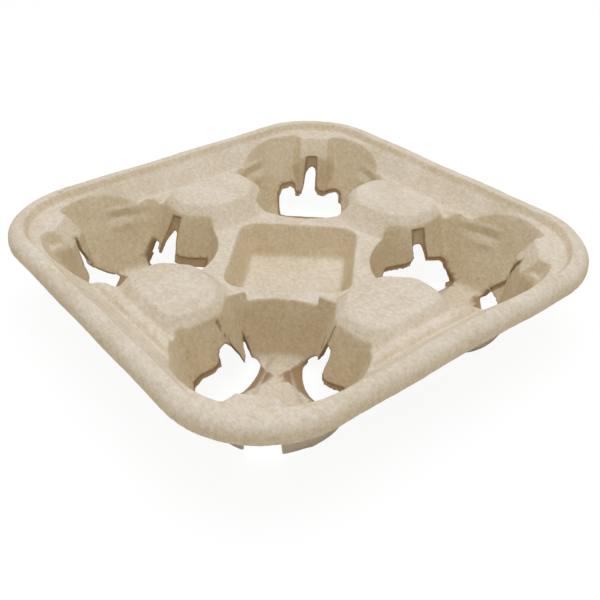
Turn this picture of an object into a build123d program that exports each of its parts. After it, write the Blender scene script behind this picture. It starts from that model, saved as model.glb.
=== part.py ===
"""Moulded pulp carrier for four cups, made as one wall of even thickness.

The tray is the space between two forms. The upper form is everything below the face that the cups
touch. The lower form is everything below the underside. The lower form is the upper one moved in by
the wall, so both come from the same function. Millimetres, +Z up, origin under the centre of the tray
at the level that the feet stand on.
"""
from build123d import *
from math import radians, tan
import os

# Whole tray
tray_width = 216
tray_height = 47
corner_radius = 43
wall = 2
half_width = tray_width / 2

# Rim: rolled over at the outside, with an open lip below it
lip_depth = 7.5
lip_gap = 1
roll_radius = 5.5
crest_width = 10
crest_draft = 30
crest_depth = 4
ledge_level = tray_height - crest_depth

# Troughs between the posts and the rim, with margins from the tray's outer side
trough_depth = 12.5
trough_draft = 48
trough_margin = 20
trough_end_margin = 62
trough_level = tray_height - trough_depth
trough_half_width = half_width - trough_margin
trough_half_length = half_width - trough_end_margin

# Beads along the troughs
bead_margin = 23.3
bead_end_gap = 1
bead_width = 7.2
bead_height = 2.5
bead_draft = 43
bead_offset = half_width - bead_margin
bead_half_length = trough_half_length - bead_end_gap

# Cells for the cups: round, flared and leaning outwards
cell_web = 12.5
cell_rim_gap = 11.5
cell_flare = 13
cell_lean = 4.5
cell_draft = 17.5
cell_floor_edge = 4
cell_mouth_radius = (half_width - cell_rim_gap - cell_web) / 2
cell_mouth_offset = cell_web + cell_mouth_radius
cell_floor_radius = cell_mouth_radius - cell_flare
cell_floor_offset = cell_mouth_offset - cell_lean

# Grip posts between the cells
post_drop = 6
post_bead_gap = 6.7
post_shorter_than_cell = 13.5
post_taper_share = 0.37
post_width_share = 0.49
post_inner_share = 0.46
post_corner_radius = 8
post_under_edge = 0.5
post_shoulder = 3
flank_draft = 16
ramp_draft = 45
post_height = tray_height - post_drop
post_outer = bead_offset - post_bead_gap
post_length = cell_mouth_radius - post_shorter_than_cell
post_inner = post_outer - post_length
post_taper_end = post_inner + round(post_taper_share * post_length, 1)
post_half_width = round(post_width_share * cell_mouth_radius, 1)
post_inner_half_width = round(post_inner_share * post_half_width, 1)
post_edge = wall + post_under_edge

# Saddle round the centre, and the recess in it
saddle_depth = 15.5
saddle_overlap = 4.5
saddle_draft = 45
recess_depth = 17
recess_post_gap = 26
recess_corner_radius = 3.5
recess_draft = 19.4
recess_floor_edge = 3
saddle_level = tray_height - saddle_depth
saddle_radius = post_inner + saddle_overlap
recess_level = saddle_level - recess_depth
recess_width = 2 * (post_inner - recess_post_gap)

# Flat rib down the outer corner of each cell
rib_half_width = 7.5
rib_side_draft = 45
rib_side_width = 14
rib_depth = 6.6
rib_upper_run = 7.4
rib_lower_run = 4.9
rib_knee_drop = 9.3
rib_overrun = 47
rib_back_gap = 0.1
rib_top_reach = round(cell_mouth_offset * 2 ** 0.5 + cell_mouth_radius - rib_depth, 1)
rib_knee_reach = rib_top_reach - rib_upper_run
rib_foot_reach = rib_knee_reach - rib_lower_run
rib_knee_height = ledge_level - rib_knee_drop
rib_slope = rib_upper_run / rib_knee_drop
rib_top_end = rib_top_reach + rib_slope * rib_overrun
rib_back = rib_top_end + rib_back_gap

# T-shaped slots: a slit up the wall, and a bar where the wall meets the floor
slit_width = 5.5
slit_drop = 13
bar_top = 14
slit_top = tray_height - slit_drop

# Corner slots, cut through the rib
corner_bar_on_floor = 6.2
corner_bar_past_rib = 3.5
corner_bar_end_gap = 11
corner_bar_reach = round(cell_floor_offset * 2 ** 0.5 + cell_floor_radius - corner_bar_on_floor, 1)
corner_bar_end = rib_top_reach + corner_bar_past_rib
corner_bar_length = 2 * (cell_floor_radius - corner_bar_end_gap)

# Side slots, cut through the flanks of the posts
side_bar_on_floor = 1.2
side_bar_behind = 0.4
side_bar_inner_reach = 10
side_bar_outer_gap = 2.5
side_bar_corner = 3.5
side_bar_bend_lead = 3
side_bar_slant = 10.5
side_bar_bulge = 1.6
flank_foot = post_half_width + post_shoulder + (post_height - wall) * tan(radians(flank_draft))
side_slit_offset = post_taper_end
side_bar_floor = round(flank_foot + side_bar_on_floor, 1)
side_bar_inner_floor = side_bar_floor - side_bar_slant
side_bar_inner = post_inner - side_bar_inner_reach
side_bar_outer = post_outer - side_bar_outer_gap
side_bar_bend = side_slit_offset - side_bar_bend_lead
side_bar_back = post_half_width + side_bar_behind


def spread(gap, draft):
    """Sideways move of a sloped side's edge when its face and the flat beside it move in by the gap."""
    return gap * tan(radians(45 - draft / 2))


def cell(gap):
    """One cell's hollow, drawn in the +X +Y corner and grown by the gap."""
    side = spread(gap, cell_draft)
    top = ledge_level - gap
    floor = wall - gap
    with BuildPart() as hollow:
        with BuildSketch(Plane.XY.offset(floor)):
            with Locations((cell_floor_offset, cell_floor_offset)):
                Circle(cell_floor_radius + side)
        with BuildSketch(Plane.XY.offset(top)):
            with Locations((cell_mouth_offset, cell_mouth_offset)):
                Circle(cell_mouth_radius + side)
        loft()
        fillet(hollow.edges().sort_by(Axis.Z)[0], cell_floor_edge + gap)

        # Flat rib, with sloped sides
        across = Plane(origin=(0, 0, 0), x_dir=(1, 1, 0), z_dir=(1, -1, 0))
        with BuildSketch(across) as face:
            with BuildLine():
                Polyline(
                    (rib_top_end, ledge_level + rib_overrun),
                    (rib_knee_reach, rib_knee_height),
                    (rib_foot_reach, wall),
                    (rib_foot_reach, -rib_overrun),
                    (rib_back, -rib_overrun),
                    (rib_back, ledge_level + rib_overrun),
                    close=True,
                )
            make_face()
            if gap:
                offset(amount=-gap, kind=Kind.INTERSECTION, mode=Mode.REPLACE)
        flat = rib_half_width - spread(gap, rib_side_draft)
        extrude(face.sketch, amount=flat, both=True, mode=Mode.SUBTRACT)
        for way in (1, -1):
            extrude(face.sketch.moved(Location((flat * way / 2 ** 0.5, -flat * way / 2 ** 0.5, 0))),
                    amount=way * rib_side_width, taper=rib_side_draft, mode=Mode.SUBTRACT)
    return hollow.part


def plateau(growth):
    """Outline of a post's flat top, on the +X side, grown by the growth."""
    with BuildSketch() as outline:
        with BuildLine():
            Polyline(
                (post_inner, post_inner_half_width),
                (post_taper_end, post_half_width),
                (post_outer, post_half_width),
                (post_outer, -post_half_width),
                (post_taper_end, -post_half_width),
                (post_inner, -post_inner_half_width),
                close=True,
            )
        make_face()
        fillet(outline.vertices(), post_corner_radius)
        offset(amount=growth, kind=Kind.ARC)
    return outline.sketch


def crown(gap, depth):
    """A post's flat top with the slopes round it, down to a depth below it, moved in by the gap."""
    with BuildPart() as slopes:
        with BuildSketch(Plane.XY.offset(post_height - gap)):
            add(plateau(-spread(gap, ramp_draft)))
        extrude(amount=-depth, taper=-ramp_draft)
        fillet(slopes.faces().sort_by(Axis.Z)[-1].edges(), post_edge - gap)
    return slopes.part


def post(gap):
    """A post's walls inside the cells, up to its flat top, moved in by the gap."""
    top = post_height - gap
    with BuildPart() as walls:
        with BuildSketch(Plane.XY.offset(top)):
            add(plateau(post_shoulder - spread(gap, flank_draft)))
        extrude(amount=-(top + wall), taper=-flank_draft)
        add(crown(gap, top + wall), mode=Mode.INTERSECT)
    return walls.part


def form(gap):
    """Everything below the tray's upper face, moved in by the gap."""
    with BuildPart() as body:
        # Block under the rim, narrower below the lip so that the lip hangs free
        outer = tray_width - 2 * gap
        top = tray_height - gap
        block = tray_width - 2 * (wall + lip_gap)
        with BuildSketch(Plane.XY.offset(-wall - gap)):
            RectangleRounded(block, block, corner_radius - wall - lip_gap)
        extrude(amount=top + wall + gap)
        with BuildSketch(Plane.XY.offset(top)):
            RectangleRounded(outer, outer, corner_radius - gap)
        extrude(amount=-(lip_depth if gap == 0 else top + wall))
        fillet(body.faces().sort_by(Axis.Z)[-1].edges(), roll_radius - gap)

        # Inner side of the rim crest
        ledge = ledge_level - gap
        mouth = tray_width - 2 * crest_width + 2 * spread(gap, crest_draft)
        with BuildSketch(Plane.XY.offset(ledge)):
            RectangleRounded(mouth, mouth, corner_radius - crest_width)
        extrude(amount=crest_depth, taper=-crest_draft, mode=Mode.SUBTRACT)

        # Troughs
        trough = trough_level - gap
        wide = 2 * (trough_half_width + spread(gap, trough_draft))
        with BuildSketch(Plane.XY.offset(trough)):
            Rectangle(wide, 2 * trough_half_length)
            Rectangle(2 * trough_half_length, wide)
        extrude(amount=ledge - trough, taper=-trough_draft, mode=Mode.SUBTRACT)

        # Beads
        with BuildSketch(Plane.XY.offset(trough)):
            with PolarLocations(bead_offset, 4):
                Rectangle(bead_width - 2 * spread(gap, bead_draft), 2 * bead_half_length)
        extrude(amount=bead_height, taper=bead_draft)

        # Saddle
        saddle = saddle_level - gap
        with BuildSketch(Plane.XY.offset(saddle)):
            Circle(saddle_radius)
        extrude(amount=trough - saddle, taper=-saddle_draft, mode=Mode.SUBTRACT)

        # Recess in the middle of the saddle
        with BuildPart(mode=Mode.PRIVATE) as pit:
            with BuildSketch(Plane.XY.offset(recess_level - gap)):
                width = recess_width + 2 * spread(gap, recess_draft)
                RectangleRounded(width, width, recess_corner_radius, rotation=45)
            extrude(amount=recess_depth, taper=-recess_draft)
            fillet(pit.faces().sort_by(Axis.Z)[0].edges(), recess_floor_edge)
        add(pit.part, mode=Mode.SUBTRACT)

        # Tops of the posts, the cells, then the post walls that stand into the cells
        slopes = crown(gap, post_height - saddle_level)
        with PolarLocations(0, 4):
            add(slopes)
        hollow = cell(gap)
        with PolarLocations(0, 4):
            add(hollow, mode=Mode.SUBTRACT)
        walls = post(gap)
        with PolarLocations(0, 4):
            add(walls)
    return body.part


with BuildPart() as cup_carrier:
    add(form(0))
    add(form(wall), mode=Mode.SUBTRACT)

    # Corner slots
    across = Plane(origin=(0, 0, 0), x_dir=(-1, 1, 0), z_dir=(1, 1, 0))
    with BuildPart(mode=Mode.PRIVATE) as corner_slot:
        with BuildSketch(across.offset(corner_bar_reach)):
            with Locations((0, (slit_top - wall) / 2)):
                Rectangle(slit_width, slit_top + wall)
            with Locations((0, (bar_top - wall) / 2)):
                Rectangle(corner_bar_length, bar_top + wall)
        extrude(amount=corner_bar_end - corner_bar_reach)

    # Side slots, one in each flank of a post
    with BuildPart(mode=Mode.PRIVATE) as side_slot:
        with BuildSketch(Plane.XY.offset(-wall)):
            with BuildLine():
                Polyline(
                    (side_bar_bend, side_bar_floor),
                    (side_bar_outer - side_bar_corner, side_bar_floor),
                    (side_bar_outer, side_bar_floor - side_bar_corner),
                    (side_bar_outer, side_bar_back),
                    (side_bar_inner, side_bar_back),
                    (side_bar_inner, side_bar_inner_floor),
                )
                SagittaArc((side_bar_inner, side_bar_inner_floor), (side_bar_bend, side_bar_floor), side_bar_bulge)
            make_face()
        extrude(amount=bar_top + wall)
        with BuildSketch(Plane.XY.offset(bar_top)):
            with Locations((side_slit_offset, (side_bar_floor + side_bar_back) / 2)):
                Rectangle(slit_width, side_bar_floor - side_bar_back)
        extrude(amount=slit_top - bar_top)
        mirror(about=Plane.XZ)
    with PolarLocations(0, 4):
        add(corner_slot.part, mode=Mode.SUBTRACT)
        add(side_slot.part, mode=Mode.SUBTRACT)

cup_carrier.part.label = "cup_carrier"
os.makedirs("parts", exist_ok=True)
export_step(cup_carrier.part, "parts/cup_carrier.step")
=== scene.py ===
"""Dress the moulded pulp cup carrier and set it on a pale floor under soft studio light."""
import logging
import math
from dataclasses import dataclass, field
from enum import Enum

import bmesh
import bpy
import numpy as np
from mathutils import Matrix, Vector, noise
from mathutils.bvhtree import BVHTree


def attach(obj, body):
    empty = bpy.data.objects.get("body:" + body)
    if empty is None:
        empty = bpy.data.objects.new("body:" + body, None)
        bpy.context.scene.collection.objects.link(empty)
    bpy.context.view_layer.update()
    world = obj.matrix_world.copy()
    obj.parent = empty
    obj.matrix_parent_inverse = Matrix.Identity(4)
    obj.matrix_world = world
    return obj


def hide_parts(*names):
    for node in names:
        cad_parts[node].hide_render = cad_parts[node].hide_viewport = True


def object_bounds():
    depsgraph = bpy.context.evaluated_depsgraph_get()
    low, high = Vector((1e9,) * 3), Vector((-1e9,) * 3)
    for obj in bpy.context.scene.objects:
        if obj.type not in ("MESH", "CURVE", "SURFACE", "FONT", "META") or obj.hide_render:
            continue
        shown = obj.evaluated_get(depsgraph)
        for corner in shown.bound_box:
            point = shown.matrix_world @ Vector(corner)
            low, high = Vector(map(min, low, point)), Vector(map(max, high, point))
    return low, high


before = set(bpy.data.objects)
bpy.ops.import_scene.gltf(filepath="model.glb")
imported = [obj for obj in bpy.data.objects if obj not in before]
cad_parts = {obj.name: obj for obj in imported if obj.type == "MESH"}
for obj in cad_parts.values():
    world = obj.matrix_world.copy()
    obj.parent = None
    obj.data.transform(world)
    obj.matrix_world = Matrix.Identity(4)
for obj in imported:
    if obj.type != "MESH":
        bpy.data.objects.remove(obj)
CAD_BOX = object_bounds()
LOG = logging.getLogger("cup_carrier")
MM = 0.001


def linear(code: str, alpha: float = 1.0) -> tuple[float, float, float, float]:
    """Turn an sRGB hex code into a linear colour.

    Args:
        code: Six hex digits after a hash sign.
        alpha: Opacity of the colour.

    Returns:
        Red, green, blue and alpha as Blender's sockets take them.
    """
    parts = [int(code[i:i + 2], 16) / 255 for i in (1, 3, 5)]
    red, green, blue = (c / 12.92 if c <= 0.04045 else ((c + 0.055) / 1.055) ** 2.4 for c in parts)
    return red, green, blue, alpha


def add_node(tree: bpy.types.NodeTree, kind: str, links: dict | None = None, **settings) -> bpy.types.Node:
    """Add one node with its settings and its incoming links.

    Args:
        tree: Node tree that gets the node.
        kind: Blender's name for the node type.
        links: Input name or number to either a plain value or the socket that feeds it.
        **settings: Properties of the node itself.

    Returns:
        The new node.
    """
    node = tree.nodes.new(kind)
    for name, value in settings.items():
        setattr(node, name, value)
    for name, value in (links or {}).items():
        if isinstance(value, bpy.types.NodeSocket):
            tree.links.new(value, node.inputs[name])
        else:
            node.inputs[name].default_value = value
    return node


def set_ramp(node: bpy.types.Node, stops: list[tuple[float, str]]) -> None:
    """Give a colour ramp its stops.

    Args:
        node: Colour ramp node.
        stops: Place from 0 to 1 and hex colour of each stop.
    """
    ramp = node.color_ramp
    while len(ramp.elements) < len(stops):
        ramp.elements.new(1.0)
    for element, (place, code) in zip(ramp.elements, stops):
        element.position = place
        element.color = linear(code)


@dataclass(frozen=True)
class PulpFinish:
    """Moulded recycled pulp, pressed on a wire mould and oven dried, uncoated.

    The eye reads it as a dull oatmeal surface with short fibres, faint clumps, a few dark specks of ink
    and bark, and browner, rougher edges where the die has torn it.
    """

    light: str = "#E0D6C8"
    middle: str = "#D8CCB9"
    dark: str = "#CDBFA6"
    torn: str = "#8E6C42"
    crease_shade: str = "#5E4A33"
    speck: str = "#6B5740"
    wall_shade_tint: tuple[float, float, float] = (1.0, 0.94, 0.8)
    mottle_mm: float = 18.0
    clump_mm: float = 2.0
    fibre_mm: float = 0.7
    fibre_stretch: float = 4.0
    speck_mm: float = 7.0
    roughness: float = 0.96

    def build(self) -> bpy.types.Material:
        """Return the material."""
        material = bpy.data.materials.new("moulded_recycled_pulp")
        material.use_nodes = True
        tree = material.node_tree
        shader = tree.nodes["Principled BSDF"]
        shader.inputs["Roughness"].default_value = self.roughness
        shader.inputs["Specular IOR Level"].default_value = 0.1
        place = add_node(tree, "ShaderNodeTexCoord").outputs["Object"]

        # Broad mottle and small clumps of pulp
        mottle = add_node(tree, "ShaderNodeTexNoise",
                          {"Vector": place, "Scale": 1 / (self.mottle_mm * MM), "Detail": 3.0, "Roughness": 0.55})
        clump = add_node(tree, "ShaderNodeTexNoise",
                         {"Vector": place, "Scale": 1 / (self.clump_mm * MM), "Detail": 4.0, "Roughness": 0.7})
        both = add_node(tree, "ShaderNodeMath", {0: mottle.outputs["Fac"], 1: 0.35}, operation="MULTIPLY")
        total = add_node(tree, "ShaderNodeMath", {0: clump.outputs["Fac"], 1: 0.65, 2: both.outputs[0]},
                         operation="MULTIPLY_ADD")
        tone = add_node(tree, "ShaderNodeValToRGB", {"Fac": total.outputs[0]})
        set_ramp(tone, [(0.36, self.dark), (0.5, self.middle), (0.62, self.light)])

        # Fibres lie every way, so two stretched noises cross each other
        fibres = []
        for turn in (0.4, 1.9):
            squeeze = add_node(tree, "ShaderNodeMapping",
                               {"Vector": place, "Rotation": (0.3, 0.2, turn),
                                "Scale": (1 / self.fibre_stretch, 1.0, 1.0)})
            fibre = add_node(tree, "ShaderNodeTexNoise",
                             {"Vector": squeeze.outputs[0], "Scale": 1 / (self.fibre_mm * MM), "Detail": 2.0})
            fibres.append(fibre.outputs["Fac"])
        fibre = add_node(tree, "ShaderNodeMath", {0: fibres[0], 1: fibres[1]}, operation="ADD")
        grain = add_node(tree, "ShaderNodeMapRange",
                         {"Value": fibre.outputs[0], "From Min": 0.75, "From Max": 1.25, "To Min": 0.93,
                          "To Max": 1.05})
        grained = add_node(tree, "ShaderNodeVectorMath", {0: tone.outputs["Color"], 1: grain.outputs[0]},
                           operation="MULTIPLY")

        # A few specks of ink and bark, of uneven size
        dots = add_node(tree, "ShaderNodeTexVoronoi",
                        {"Vector": place, "Scale": 1 / (self.speck_mm * MM), "Randomness": 1.0}, feature="F1")
        pick = add_node(tree, "ShaderNodeSeparateColor", {"Color": dots.outputs["Color"]})
        reach = add_node(tree, "ShaderNodeMapRange",
                         {"Value": pick.outputs["Red"], "From Min": 0.72, "From Max": 1.0, "To Min": 0.0,
                          "To Max": 0.06})
        keep = add_node(tree, "ShaderNodeMath", {0: dots.outputs["Distance"], 1: reach.outputs[0]},
                        operation="LESS_THAN")
        soft = add_node(tree, "ShaderNodeMath", {0: keep.outputs[0], 1: 0.7}, operation="MULTIPLY")
        specked = add_node(tree, "ShaderNodeMix",
                           {0: soft.outputs[0], 6: grained.outputs[0], 7: linear(self.speck)}, data_type="RGBA")

        # Painted shade: steep walls are tinted browner and darker than the flat tops, for the bounced light and shade
        # between them
        wall_shade_node = add_node(tree, "ShaderNodeAttribute", attribute_name="wall_shade_mask")
        painted_wall_shade = add_node(tree, "ShaderNodeMix",
                           {0: wall_shade_node.outputs["Fac"], 6: (1, 1, 1, 1), 7: (*self.wall_shade_tint, 1)}, data_type="RGBA")
        specked = add_node(tree, "ShaderNodeVectorMath", {0: specked.outputs[2], 1: painted_wall_shade.outputs[2]},
                           operation="MULTIPLY")

        # Torn edges of the slots, and painted shade along the creases and closed-up tears
        edge = add_node(tree, "ShaderNodeAttribute", attribute_name="torn")
        torn = add_node(tree, "ShaderNodeMix",
                        {0: edge.outputs["Fac"], 6: specked.outputs[0], 7: linear(self.torn)}, data_type="RGBA")
        fold = add_node(tree, "ShaderNodeAttribute", attribute_name="crease_shade")
        folded = add_node(tree, "ShaderNodeMix",
                          {0: fold.outputs["Fac"], 6: torn.outputs[2], 7: linear(self.crease_shade)}, data_type="RGBA")
        tree.links.new(folded.outputs[2], shader.inputs["Base Color"])

        # Relief: clumps and fibres
        relief = add_node(tree, "ShaderNodeMath", {0: clump.outputs["Fac"], 1: 1.6, 2: fibre.outputs[0]},
                          operation="MULTIPLY_ADD")
        bump = add_node(tree, "ShaderNodeBump",
                        {"Height": relief.outputs[0], "Strength": 0.3, "Distance": 0.25 * MM})
        tree.links.new(bump.outputs[0], shader.inputs["Normal"])
        return material


class Wall(Enum):
    """Wall that a slot is torn in, with its own way of laying out the slot's sketch."""

    FLANK = "flank of a post"
    CORNER = "outer corner of a cell"


@dataclass(frozen=True)
class Slot:
    """One slot as it came off the die, where it differs from the clean T of the solid.

    Sketches are in millimetres: along the wall, then height. On a flank the first number is the distance
    from the tray's middle, and at a corner it is the distance from the diagonal.
    """

    wall: Wall
    quarter: int
    side: int = 1
    patches: tuple[tuple[float, float, float, float], ...] = ()
    cuts: tuple[tuple[tuple[float, float], ...], ...] = ()
    webs: tuple[tuple[float, float, float, float], ...] = ()
    holes: tuple[tuple[tuple[float, float], ...], ...] = ()
    lines: tuple[tuple[tuple[float, float], ...], ...] = ()

    def face(self, along: float, height: float) -> float:
        """Return how deep the face that the cup touches lies, in millimetres."""
        climb = (height - 2) / 41
        if self.wall is Wall.FLANK:
            run = 3 + (41 - height) * math.tan(math.radians(16))
            arc = 8 + run
            if along > 70:
                return 12.6 + math.sqrt(max(arc ** 2 - (along - 70) ** 2, 0))
            if along > 63.18:
                return 20.6 + run
            if along > 63.18 - arc * 0.687:
                return 12.6 + math.sqrt(arc ** 2 - (along - 63.18) ** 2)
            oblique = 9.5 + (run + 0.7264 * (along - 49.5)) / 0.687
            middle, reach = 50 + 4.5 * climb, 29 + 13 * climb
            return max(oblique, middle - math.sqrt(max(reach ** 2 - (middle - along) ** 2, 0)))
        cone = (50 + 4.5 * climb) * 2 ** 0.5 + math.sqrt(max((29 + 13 * climb) ** 2 - along ** 2, 0))
        rib = 100.2 + 4.9 * (height - 2) / 31.7 if height < 33.7 else 105.1 + (height - 33.7) * 0.796
        return min(cone, rib + max(abs(along) - 7.5, 0))

    def point(self, along: float, depth: float, height: float) -> Vector:
        """Return a sketch point as a place in the tray, in metres.

        Args:
            along: Distance along the wall, in millimetres.
            depth: Distance through the wall, in millimetres.
            height: Height above the floor, in millimetres.
        """
        if self.wall is Wall.FLANK:
            turn, x, y = math.radians(90 * self.quarter), along, self.side * depth
        else:
            turn, x, y = math.radians(45 + 90 * self.quarter), depth, along
        return Vector((x * math.cos(turn) - y * math.sin(turn), x * math.sin(turn) + y * math.cos(turn), height)) * MM

    def add_patch(self, shape: bmesh.types.BMesh, patch: tuple[float, float, float, float],
                  skin: float = 0.05) -> None:
        """Add a closed sheet of pulp that follows the wall.

        Args:
            shape: Mesh that gets the sheet.
            patch: Lowest and highest place along the wall, then lowest and highest height.
            skin: How deep the sheet lies under the face that the cup touches, in millimetres.
        """
        low, high, foot, top = patch
        across, up = max(2, round((high - low) / 1.5)), max(2, round((top - foot) / 3))
        layers = []
        for thickness in (skin, 1.95):
            layers.append([[shape.verts.new(self.point(low + (high - low) * i / across,
                                                       self.deeper(low + (high - low) * i / across,
                                                                   foot + (top - foot) * j / up, thickness),
                                                       foot + (top - foot) * j / up))
                            for i in range(across + 1)] for j in range(up + 1)])
        front, back = layers
        for rows, flip in ((front, False), (back, True)):
            for j in range(up):
                for i in range(across):
                    ring = [rows[j][i], rows[j][i + 1], rows[j + 1][i + 1], rows[j + 1][i]]
                    shape.faces.new(ring[::-1] if flip else ring)
        for j in range(up):
            shape.faces.new([front[j][0], front[j + 1][0], back[j + 1][0], back[j][0]])
            shape.faces.new([back[j][-1], back[j + 1][-1], front[j + 1][-1], front[j][-1]])
        for i in range(across):
            shape.faces.new([back[0][i], back[0][i + 1], front[0][i + 1], front[0][i]])
            shape.faces.new([front[-1][i], front[-1][i + 1], back[-1][i + 1], back[-1][i]])

    def deeper(self, along: float, height: float, thickness: float) -> float:
        """Return the depth of a point inside the wall, under the face that the cup touches."""
        way = -1 if self.wall is Wall.FLANK else 1
        return self.face(along, height) + way * thickness

    def add_cut(self, shape: bmesh.types.BMesh, outline: tuple[tuple[float, float], ...]) -> None:
        """Add a straight cutter with the given outline.

        Args:
            shape: Mesh that gets the cutter.
            outline: Corners of the outline in order.
        """
        near, far = (17, 37) if self.wall is Wall.FLANK else (90, 118)
        rings = [[shape.verts.new(self.point(along, depth, height)) for along, height in outline]
                 for depth in (near, far)]
        shape.faces.new(rings[0])
        shape.faces.new(rings[1][::-1])
        for i in range(len(outline)):
            j = (i + 1) % len(outline)
            shape.faces.new([rings[0][j], rings[0][i], rings[1][i], rings[1][j]])

    def on_web(self, places: np.ndarray) -> np.ndarray:
        """Return the indices of the points that lie on the slot's recessed webs.

        Args:
            places: Points as rows, in metres.
        """
        turn = math.radians(90 * self.quarter + (0 if self.wall is Wall.FLANK else 45))
        x, y, z = (places / MM).T
        out, across = x * math.cos(turn) + y * math.sin(turn), y * math.cos(turn) - x * math.sin(turn)
        along, depth = (out, self.side * across) if self.wall is Wall.FLANK else (across, out)
        near, far = (17, 37) if self.wall is Wall.FLANK else (90, 118)
        found = []
        for low, high, foot, top in self.webs:
            inside = (along > low) & (along < high) & (z > foot) & (z < top) & (depth > near) & (depth < far)
            for i in np.flatnonzero(inside):
                if 0.55 < abs(depth[i] - self.face(along[i], z[i])) < 1.5:
                    found.append(i)
        return np.array(found, dtype=int)

    def paths(self) -> list[list[Vector]]:
        """Return the closed-up tears as paths on the face that the cup touches."""
        return [[self.point(along, self.face(along, height), height) for along, height in line]
                for line in self.lines]


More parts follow.
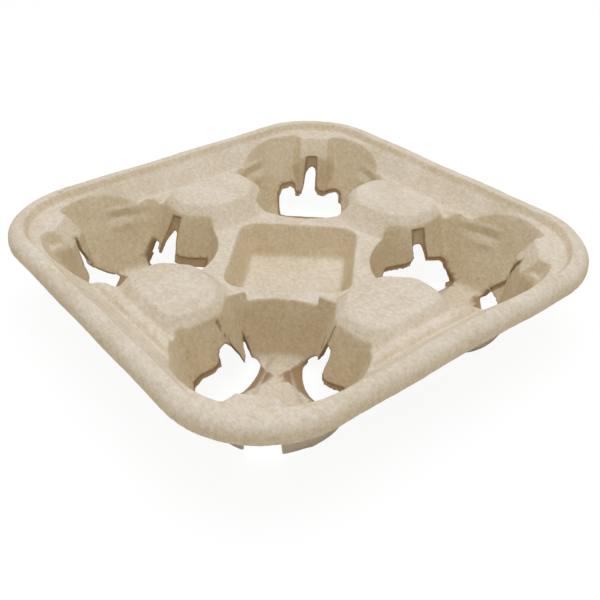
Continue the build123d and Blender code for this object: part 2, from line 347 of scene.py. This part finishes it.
SLOTS = (
    # Nearest cell, left: a tongue hangs in the bar, and the slit has closed above it
    Slot(Wall.FLANK, 3, 1,
         patches=((39.0, 66.5, 2.6, 36.0), (66.0, 79.0, 3.0, 17.0)),
         cuts=(((58.8, 23.6), (61.9, 22.6), (63.4, 17.0), (66.5, 15.6), (72.6, 15.6), (77.6, 12.6), (79.5, 7.0),
                (79.0, 2.3), (41.0, 2.3), (42.2, 8.0), (43.5, 15.4), (44.4, 12.6), (45.9, 7.6), (48.4, 6.8),
                (51.0, 12.6), (54.9, 19.4)),),
         webs=((61.0, 79.0, 2.6, 18.5),),
         holes=(((58.8, 24.0), (61.6, 22.6), (62.2, 14.6), (64.5, 14.2), (66.2, 13.0), (72.0, 12.8), (75.8, 10.0),
                 (76.9, 6.4), (75.6, 1.0), (39.0, 1.0), (50.0, 14.0)),),
         lines=(((60.4, 34.8), (57.6, 27.0), (54.7, 19.6), (50.8, 12.8)), ((43.8, 17.6), (43.4, 15.0), (41.9, 7.0)))),
    # Nearest cell, right
    Slot(Wall.FLANK, 0, -1,
         patches=((39.0, 66.5, 2.6, 36.0), (66.0, 79.0, 3.0, 17.0)),
         cuts=(((56.2, 24.6), (60.2, 25.0), (59.2, 18.0), (58.6, 13.6), (60.0, 11.4), (62.5, 11.2), (72.4, 14.0),
                (78.4, 10.0), (78.0, 2.3), (38.4, 2.3), (40.0, 4.4), (44.5, 8.2), (48.6, 11.4), (49.9, 11.7)),),
         webs=((56.0, 79.0, 2.6, 16.5),),
         holes=(((56.0, 25.0), (59.8, 25.0), (58.4, 18.0), (57.2, 11.4), (58.6, 8.8), (60.5, 8.2), (72.4, 10.8),
                 (76.4, 7.0), (76.0, 1.0), (38.0, 1.0), (49.0, 14.0)),),
         lines=(((59.1, 34.8), (57.4, 29.0), (54.4, 19.7), (49.9, 11.9)), ((51.3, 24.6), (48.7, 13.2)))),
    # Right cell, behind: a clean T, with pulp left at the back of the slit's top and of the bar
    Slot(Wall.FLANK, 1, -1,
         patches=((53.5, 66.0, 12.0, 36.0), (66.0, 76.5, 9.0, 18.0)),
         cuts=(((57.0, 35.0), (62.9, 34.6), (62.2, 27.0), (62.8, 19.6), (72.2, 16.6), (75.6, 14.0), (77.0, 2.3),
                (41.0, 2.3), (41.6, 12.6), (43.3, 14.8), (54.3, 19.2), (56.0, 21.0), (56.3, 29.0)),),
         webs=((40.0, 77.0, 9.0, 20.5), (55.5, 63.6, 20.0, 36.0)),
         holes=(((57.6, 27.2), (60.6, 26.8), (62.2, 24.0), (62.6, 17.6), (72.2, 14.6), (75.0, 12.0), (77.6, 1.0),
                 (39.0, 1.0), (41.0, 10.6), (43.3, 12.4), (54.3, 16.6), (55.6, 21.0), (56.0, 26.0)),)),
    # Left cell, behind: the flap beside the slit has swung out
    Slot(Wall.FLANK, 2, 1,
         patches=((54.0, 79.0, 9.0, 36.0),),
         cuts=(((60.2, 34.6), (65.8, 33.6), (66.2, 30.5), (68.6, 24.0), (71.6, 17.0), (74.4, 9.4), (75.4, 9.2),
                (77.0, 14.5), (78.7, 16.2), (78.9, 13.0), (77.6, 2.3), (45.6, 2.3), (45.4, 15.4), (57.0, 14.9),
                (59.6, 15.6), (60.6, 21.0), (60.6, 28.0)),),
         webs=((44.5, 79.5, 9.0, 17.0), (59.5, 72.0, 15.0, 36.0)),
         holes=(((61.6, 25.6), (63.8, 26.0), (65.6, 24.0), (70.6, 17.0), (74.0, 8.4), (75.4, 8.2), (77.2, 13.0),
                 (78.2, 12.0), (77.0, 1.0), (45.6, 1.0), (45.8, 10.4), (57.2, 9.8), (60.8, 10.4), (61.2, 14.0),
                 (61.6, 20.0)),)),
    # Farthest corner: a tooth of pulp stands in the bar
    Slot(Wall.CORNER, 1,
         patches=((-19.0, 12.5, 8.8, 18.0), (-3.6, 5.0, 13.0, 35.5)),
         cuts=(((3.4, 34.2), (4.0, 27.0), (5.0, 17.0), (6.0, 13.4), (8.0, 12.4), (10.2, 12.4), (11.0, 16.6),
                (13.0, 17.8), (18.0, 17.4), (19.8, 13.0), (18.6, 2.3), (-16.4, 2.3), (-16.8, 14.2), (-14.0, 15.2),
                (-7.0, 13.2), (-3.2, 14.4), (-1.9, 17.0), (-1.9, 34.2)),),
         webs=((-17.5, 20.0, 8.0, 19.0), (-3.0, 6.0, 18.0, 35.5)),
         holes=(((2.2, 27.0), (4.0, 24.0), (5.4, 16.5), (6.4, 11.2), (7.8, 9.6), (10.4, 9.4), (11.2, 13.6),
                 (13.2, 14.8), (17.6, 14.4), (19.2, 11.0), (19.0, 1.0), (-16.0, 1.0), (-15.6, 12.4), (-13.4, 13.0),
                 (-6.4, 9.8), (-3.2, 10.8), (-1.2, 14.0), (-1.3, 26.0), (0.4, 27.6)),)),
    # Right corner: the flaps have met along a slanting line, and only a little of the bar is open
    Slot(Wall.CORNER, 0,
         patches=((-18.5, 18.5, 3.0, 36.0),),
         cuts=(((17.0, 2.3), (17.2, 6.6), (13.0, 6.2), (8.0, 4.8), (2.0, 4.2), (-18.0, 4.0), (-18.0, 2.3)),
               ((0.0, 34.6), (0.8, 34.6), (5.5, 27.0), (10.9, 18.6), (16.6, 8.7), (15.5, 8.0), (10.0, 18.0),
                (4.7, 26.6))),
         lines=(((0.4, 34.4), (5.0, 27.0), (10.4, 18.4), (16.4, 8.0)),)),
    # Left corner: torn along a slanting line, with a rumpled flap
    Slot(Wall.CORNER, 2,
         patches=((-18.5, 18.5, 3.0, 36.0),),
         cuts=(((0.8, 34.4), (1.6, 27.5), (1.2, 20.0), (0.6, 14.0), (4.5, 9.5), (10.5, 12.0), (18.4, 18.0),
                (18.4, 10.5), (15.5, 7.0), (18.4, 2.3), (-17.0, 2.3), (-14.8, 4.5), (-11.5, 8.7), (-8.2, 12.5),
                (-3.8, 19.0), (-0.4, 27.0), (0.0, 34.4)),)),
    # Nearest corner: two flaps hang below the rim
    Slot(Wall.CORNER, 3, patches=((-18.5, -8.0, 2.0, 14.0), (7.0, 18.5, 2.0, 14.0))),
)


@dataclass(frozen=True)
class Fold:
    """A crease or a small ridge pressed into the pulp along a path.

    Args in millimetres: the path's corners, how high it stands (a crease has a negative height), and how wide it is.
    The shade, from 0 to 1, is how dark the painted shade along the path is.
    """

    path: tuple[tuple[float, float, float], ...]
    height: float
    width: float
    shade: float = 0.0


# Folds: path, height and width in millimetres, and the strength of their painted shade
FOLDS = (
    Fold(((28.0, -35.5, 2.0), (33.0, -43.0, 2.0), (41.6, -55.0, 2.0), (46.0, -60.0, 2.0)), -0.55, 1.5, 0.22),
    Fold(((34.8, -30.5, 2.0), (46.0, -36.5, 2.0), (60.9, -43.1, 2.0), (70.0, -47.0, 2.0)), -0.5, 1.6, 0.16),
    Fold(((36.0, 29.0, 2.0), (47.0, 41.0, 2.0), (60.0, 46.0, 2.0)), -0.5, 1.6, 0.15),
    Fold(((-36.0, -30.0, 2.0), (-44.0, -42.0, 2.0), (-55.0, -48.0, 2.0)), -0.5, 1.6, 0.15),
    Fold(((17.0, -42.0, 31.6), (26.0, -35.0, 31.0), (33.0, -27.0, 31.0), (42.0, -17.0, 31.6)), 0.4, 1.2, 0.0),
    Fold(((18.5, -41.0, 30.0), (27.0, -34.0, 29.4), (34.0, -26.0, 29.4), (41.0, -18.5, 30.0)), -0.5, 1.2, 0.12),
)


@dataclass
class PulpTray:
    """The carrier's own dressed piece: the solid with soft, slightly uneven moulded faces."""

    node: str = "cup_carrier"
    voxel: float = 0.7 * MM
    smooth_passes: int = 5
    wave_size: float = 32 * MM
    wave_depth: float = 0.5 * MM
    lump_size: float = 4.5 * MM
    lump_depth: float = 0.13 * MM
    triangle_budget: int = 165_000
    tear_width: float = 1.1 * MM
    finish: PulpFinish = field(default_factory=PulpFinish)

    def build(self) -> bpy.types.Object:
        """Make the piece, give it its finish and put it in the solid's place.

        Returns:
            The finished object.
        """
        walls, sheets, webs = self.copy_solid(), self.make_sheets("patches", 0.05), self.make_sheets("webs", 1.0)
        cutter, holes = self.make_cutter("cuts"), self.make_cutter("holes")
        self.tear(walls, cutter, False)
        self.tear(sheets, cutter, True)
        self.tear(webs, holes, True)
        piece = self.join([walls, sheets, webs])
        bpy.data.objects.remove(holes)
        self.remesh(piece)
        self.bend(piece)
        self.thin_out(piece)
        self.refine(piece, cutter)
        self.mark(piece, cutter)
        bpy.data.objects.remove(cutter)
        piece.data.materials.clear()
        piece.data.materials.append(self.finish.build())
        piece.data.polygons.foreach_set("use_smooth", [True] * len(piece.data.polygons))
        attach(piece, "root")
        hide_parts(self.node)
        LOG.info("moulded tray: %d triangles", sum(len(p.vertices) - 2 for p in piece.data.polygons))
        return piece

    def copy_solid(self) -> bpy.types.Object:
        """Return a closed copy of the solid."""
        shape = bmesh.new()
        shape.from_mesh(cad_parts[self.node].data)
        bmesh.ops.remove_doubles(shape, verts=shape.verts, dist=0.002 * MM)
        return self.make_object("moulded_tray", shape)

    def make_sheets(self, name: str, skin: float) -> bpy.types.Object:
        """Return the sheets of pulp that close parts of the slots.

        Args:
            name: Field of the slots that holds the sheets.
            skin: How deep the sheets lie under the face that the cup touches, in millimetres.
        """
        shape = bmesh.new()
        for slot in SLOTS:
            for sheet in getattr(slot, name):
                slot.add_patch(shape, sheet, skin)
        return self.make_object("slot_sheets", shape)

    def make_cutter(self, name: str) -> bpy.types.Object:
        """Return one object that holds outlines of all the torn slots.

        Args:
            name: Field of the slots that holds the outlines.
        """
        shape = bmesh.new()
        for slot in SLOTS:
            for outline in getattr(slot, name):
                slot.add_cut(shape, outline)
        bmesh.ops.recalc_face_normals(shape, faces=shape.faces)
        return self.make_object("slot_cutter", shape)

    def make_object(self, name: str, shape: bmesh.types.BMesh) -> bpy.types.Object:
        """Turn a mesh under construction into an object of the scene.

        Args:
            name: Name of the object and its mesh.
            shape: Mesh under construction, which is freed.
        """
        mesh = bpy.data.meshes.new(name)
        shape.to_mesh(mesh)
        shape.free()
        piece = bpy.data.objects.new(name, mesh)
        bpy.context.scene.collection.objects.link(piece)
        return piece

    def bake(self, piece: bpy.types.Object) -> None:
        """Apply every modifier of a piece.

        Args:
            piece: Object whose mesh takes the shape that its modifiers give.
        """
        graph = bpy.context.evaluated_depsgraph_get()
        graph.update()
        mesh = bpy.data.meshes.new_from_object(piece.evaluated_get(graph))
        piece.modifiers.clear()
        piece.data = mesh

    def tear(self, piece: bpy.types.Object, cutter: bpy.types.Object, overlaps: bool) -> None:
        """Open the slots along their torn outlines.

        Args:
            piece: Object that is cut.
            cutter: Outlines of the slots, as straight solids.
            overlaps: Whether parts of the piece may overlap each other.
        """
        cut = piece.modifiers.new("cut", "BOOLEAN")
        cut.operation = "DIFFERENCE"
        cut.solver = "EXACT"
        cut.use_self = overlaps
        cut.object = cutter
        self.bake(piece)

    def join(self, pieces: list[bpy.types.Object]) -> bpy.types.Object:
        """Return one object with the meshes of several, which are removed."""
        shape = bmesh.new()
        for piece in pieces:
            shape.from_mesh(piece.data)
            bpy.data.objects.remove(piece)
        return self.make_object("moulded_pulp_tray", shape)

    def remesh(self, piece: bpy.types.Object) -> None:
        """Give the piece an even mesh and round its edges as pulp does.

        Args:
            piece: The tray.
        """
        grid = piece.modifiers.new("grid", "REMESH")
        grid.mode = "VOXEL"
        grid.voxel_size = self.voxel
        soft = piece.modifiers.new("soft", "SMOOTH")
        soft.factor = 0.5
        soft.iterations = self.smooth_passes
        self.bake(piece)

    def bend(self, piece: bpy.types.Object) -> None:
        """Add what drying and handling did: waves, lumps, a sagging side, swellings and folds.

        Args:
            piece: The tray.
        """
        places = read_points(piece, "co")
        normals = read_points(piece, "normal")
        push = np.zeros(len(places))
        for fold in FOLDS:
            push += fold.height * MM * bell(path_distance(places, np.array(fold.path) * MM), fold.width * MM)
        push += self.swellings(places)
        push += self.rumples(places)
        waves = np.array([noise.noise_vector(Vector(point) / self.wave_size) for point in places])
        lumps = np.array([noise.noise(Vector(point) / self.lump_size) for point in places])
        places += waves * self.wave_depth + normals * (push + lumps * self.lump_depth)[:, None]
        places += self.sag(places)
        low, high = np.array(CAD_BOX[0]), np.array(CAD_BOX[1])
        places = np.clip(places, low, high)
        piece.data.vertices.foreach_set("co", places.ravel())
        piece.data.update()

    def swellings(self, places: np.ndarray) -> np.ndarray:
        """Return the push of the bands that the cell walls show below the back troughs."""
        x, y, z = (places / MM).T
        push = np.zeros(len(places))
        for out, along in ((y, np.abs(x)), (-x, np.abs(y))):
            window = bell(out - 90, 8) * step(along, 24, 29) * (1 - step(along, 46, 54))
            push += window * (0.7 * bell(z - 25, 3.2) - 0.5 * bell(z - 29.3, 1.8) + 0.5 * bell(z - 33, 2.0))
        return push * MM

    def rumples(self, places: np.ndarray) -> np.ndarray:
        """Return the push of the rumpled flap in the left corner and the fine wrinkles over the slits."""
        push = np.zeros(len(places))
        left = np.array((-76.0, -70.0, 16.0)) * MM
        weight = bell(np.linalg.norm(places - left, axis=1), 16 * MM)
        tops = [slot.point(60, slot.face(60, 36), 36) for slot in SLOTS if slot.wall is Wall.FLANK]
        for spot in tops:
            weight = np.maximum(weight, 0.45 * bell(np.linalg.norm(places - np.array(spot), axis=1), 5 * MM))
        for i in np.flatnonzero(weight > 0.02):
            spot = Vector(places[i]) / (3.2 * MM)
            spot.z *= 0.45
            push[i] = weight[i] * noise.noise(spot) * 1.1 * MM
        return push

    def sag(self, places: np.ndarray) -> np.ndarray:
        """Return the shift of the front right side, whose right half hangs lower."""
        x, y, _ = (places / MM).T
        weight = step(x, 74, 90) * step(y, 2, 45) * (1 - 0.6 * step(y, 70, 100))
        shift = np.zeros_like(places)
        shift[:, 2] = -1.8 * weight * MM
        return shift

    def thin_out(self, piece: bpy.types.Object) -> None:
        """Bring the piece down to its triangle budget.

        Args:
            piece: The tray.
        """
        triangles = sum(len(p.vertices) - 2 for p in piece.data.polygons)
        if triangles > self.triangle_budget:
            fewer = piece.modifiers.new("fewer", "DECIMATE")
            fewer.ratio = self.triangle_budget / triangles
            self.bake(piece)

    def refine(self, piece: bpy.types.Object, cutter: bpy.types.Object) -> None:
        """Make the mesh finer along the torn edges, so that their colour has a sharp border.

        Args:
            piece: The tray.
            cutter: Outlines of the slots, as straight solids.
        """
        near = self.tear_distance(read_points(piece, "co"), cutter) < 1.5 * self.tear_width
        shape = bmesh.new()
        shape.from_mesh(piece.data)
        shape.verts.ensure_lookup_table()
        edges = [e for e in shape.edges if near[e.verts[0].index] and near[e.verts[1].index]
                 and e.calc_length() > 0.7 * MM]
        bmesh.ops.subdivide_edges(shape, edges=edges, cuts=1)
        bmesh.ops.triangulate(shape, faces=[f for f in shape.faces if len(f.verts) > 4])
        shape.to_mesh(piece.data)
        shape.free()

    def tear_distance(self, places: np.ndarray, cutter: bpy.types.Object) -> np.ndarray:
        """Return how far each point is from the nearest torn edge that the slots' cutter outlines.

        Args:
            places: Points, in metres.
            cutter: Outlines of the slots, as straight solids.
        """
        tree = BVHTree.FromPolygons([v.co for v in cutter.data.vertices], [p.vertices for p in cutter.data.polygons])
        limit = 4 * self.tear_width
        found = (tree.find_nearest(Vector(point), limit)[3] for point in places)
        return np.array([limit if gap is None else gap for gap in found])

    def mark(self, piece: bpy.types.Object, cutter: bpy.types.Object) -> None:
        """Store how torn the surface is, and how much painted shade the creases, closed-up tears and steep walls get
        at each point, for the material.

        Args:
            piece: The tray.
            cutter: Outlines of the slots, as straight solids.
        """
        places = read_points(piece, "co")
        torn = 1 - step(self.tear_distance(places, cutter), 0.3 * self.tear_width, self.tear_width)
        crease_shade = np.zeros(len(places))
        for slot in SLOTS:
            torn[slot.on_web(places)] = 0.6
            # Painted shade along the closed-up tears
            for path in slot.paths():
                crease_shade = np.maximum(crease_shade, 0.9 * bell(path_distance(places, np.array(path)), 0.8 * MM))
        # Painted shade along the folds
        for fold in FOLDS:
            gap = path_distance(places, np.array(fold.path) * MM)
            crease_shade = np.maximum(crease_shade, fold.shade * bell(gap, fold.width * MM))
        # Steepness mask for the painted shade on the walls
        wall_shade_mask = step(1 - np.abs(read_points(piece, "normal")[:, 2]), 0.1, 0.75)
        for name, values in (("torn", torn * 0.8), ("crease_shade", crease_shade), ("wall_shade_mask", wall_shade_mask)):
            store = piece.data.attributes.new(name, "FLOAT", "POINT")
            store.data.foreach_set("value", values)


def read_points(piece: bpy.types.Object, name: str) -> np.ndarray:
    """Return one vector of every vertex of a piece as rows.

    Args:
        piece: Object with the mesh.
        name: Vertex property, such as co or normal.
    """
    values = np.empty(len(piece.data.vertices) * 3)
    piece.data.vertices.foreach_get(name, values)
    return values.reshape(-1, 3)


def bell(distance: np.ndarray, width: float) -> np.ndarray:
    """Return a smooth hump that is 1 at no distance and nearly 0 at the width."""
    return np.exp(-2.5 * (distance / width) ** 2)


def step(value: np.ndarray, low: float, high: float) -> np.ndarray:
    """Return a smooth rise from 0 at the low end to 1 at the high end."""
    share = np.clip((value - low) / (high - low), 0, 1)
    return share * share * (3 - 2 * share)


def path_distance(places: np.ndarray, path: np.ndarray) -> np.ndarray:
    """Return each point's distance from a path of straight runs.

    Args:
        places: Points as rows.
        path: The path's corners as rows.
    """
    nearest = np.full(len(places), np.inf)
    for start, end in zip(path[:-1], path[1:]):
        run = end - start
        share = np.clip(((places - start) @ run) / (run @ run), 0, 1)
        nearest = np.minimum(nearest, np.linalg.norm(places - start - share[:, None] * run, axis=1))
    return nearest


@dataclass
class Studio:
    """Pale floor, soft light from above and a white surround."""

    floor_size: float = 4.0
    floor_colour: str = "#F4F5F7"
    floor_glow: float = 0.92
    floor_shade: float = 0.1
    sky_light: float = 0.46
    top_light_watts: float = 7.4
    top_light_size: float = 1.0
    top_light_place: tuple[float, float, float] = (0.03, 0.03, 1.1)

    def build(self) -> None:
        """Make the floor, the lamp and the world."""
        self.make_floor()
        self.make_world()
        self.make_lamp()

    def make_floor(self) -> None:
        """Lay the floor, which shows white but keeps the tray's shadow."""
        shape = bmesh.new()
        bmesh.ops.create_grid(shape, x_segments=1, y_segments=1, size=self.floor_size / 2)
        mesh = bpy.data.meshes.new("floor")
        shape.to_mesh(mesh)
        shape.free()
        floor = bpy.data.objects.new("floor", mesh)
        bpy.context.scene.collection.objects.link(floor)
        floor.data.materials.append(self.floor_material())

    def floor_material(self) -> bpy.types.Material:
        """Return matt white paper that the camera sees nearly evenly white, with a faint shadow."""
        material = bpy.data.materials.new("matt_white_paper")
        material.use_nodes = True
        tree = material.node_tree
        tree.nodes.remove(tree.nodes["Principled BSDF"])
        matt = add_node(tree, "ShaderNodeBsdfDiffuse", {"Color": linear(self.floor_colour)})
        faint = add_node(tree, "ShaderNodeBsdfDiffuse", {"Color": (self.floor_shade,) * 3 + (1.0,)})
        glow = add_node(tree, "ShaderNodeEmission", {"Color": (1, 1, 1, 1), "Strength": self.floor_glow})
        shown = add_node(tree, "ShaderNodeAddShader", {0: faint.outputs[0], 1: glow.outputs[0]})
        total = add_node(tree, "ShaderNodeMixShader",
                         {0: self.seen_directly(tree), 1: matt.outputs[0], 2: shown.outputs[0]})
        tree.links.new(total.outputs[0], tree.nodes["Material Output"].inputs["Surface"])
        return material

    def seen_directly(self, tree: bpy.types.NodeTree) -> bpy.types.NodeSocket:
        """Return a socket that is 1 for rays that show the surface itself, and 0 for those that light others."""
        sight = add_node(tree, "ShaderNodeLightPath")
        seen = add_node(tree, "ShaderNodeMath",
                        {0: sight.outputs["Is Camera Ray"], 1: sight.outputs["Is Glossy Ray"]}, operation="MAXIMUM")
        seen = add_node(tree, "ShaderNodeMath", {0: seen.outputs[0], 1: sight.outputs["Is Transmission Ray"]},
                        operation="MAXIMUM")
        return seen.outputs[0]

    def make_world(self) -> None:
        """Surround the tray with soft white light and a white backdrop."""
        world = bpy.data.worlds.new("studio")
        bpy.context.scene.world = world
        world.use_nodes = True
        tree = world.node_tree
        lit = tree.nodes["Background"]
        lit.inputs["Color"].default_value = (1, 1, 1, 1)
        lit.inputs["Strength"].default_value = self.sky_light
        shown = add_node(tree, "ShaderNodeBackground", {"Color": (1, 1, 1, 1), "Strength": 1.0})
        mix = add_node(tree, "ShaderNodeMixShader",
                       {0: self.seen_directly(tree), 1: lit.outputs[0], 2: shown.outputs[0]})
        tree.links.new(mix.outputs[0], tree.nodes["World Output"].inputs["Surface"])

    def make_lamp(self) -> None:
        """Hang one large soft lamp above the tray."""
        lamp = bpy.data.lights.new("top_light", "AREA")
        lamp.shape = "DISK"
        lamp.size = self.top_light_size
        lamp.energy = self.top_light_watts
        holder = bpy.data.objects.new("top_light", lamp)
        holder.location = self.top_light_place
        holder.rotation_euler = Vector(self.top_light_place).to_track_quat("Z", "Y").to_euler()
        bpy.context.scene.collection.objects.link(holder)


@dataclass
class PhotoCamera:
    """Camera at the photograph's viewing angle."""

    aim: tuple[float, float, float] = (2.03 * MM, 2.91 * MM, 5.26 * MM)
    azimuth: float = -38.98
    elevation: float = 34.84
    distance: float = 385.2 * MM
    lens: float = 46.56

    def build(self) -> None:
        """Make the camera and set it as the scene's own."""
        turn, rise = math.radians(self.azimuth), math.radians(self.elevation)
        away = Vector((math.cos(turn) * math.cos(rise), math.sin(turn) * math.cos(rise), math.sin(rise)))
        camera = bpy.data.objects.new("camera", bpy.data.cameras.new("camera"))
        camera.data.lens = self.lens
        camera.data.sensor_width = 36.0
        camera.data.clip_start = 0.01
        camera.location = Vector(self.aim) + away * self.distance
        camera.rotation_euler = away.to_track_quat("Z", "Y").to_euler()
        bpy.context.scene.collection.objects.link(camera)
        bpy.context.scene.camera = camera


def main() -> None:
    """Build the camera, the studio and the tray; the tray logs its triangle count."""
    logging.basicConfig(level=logging.INFO)
    bpy.context.scene.view_settings.view_transform = "Standard"
    PhotoCamera().build()
    Studio().build()
    PulpTray().build()


if __name__ == "__main__":
    main()
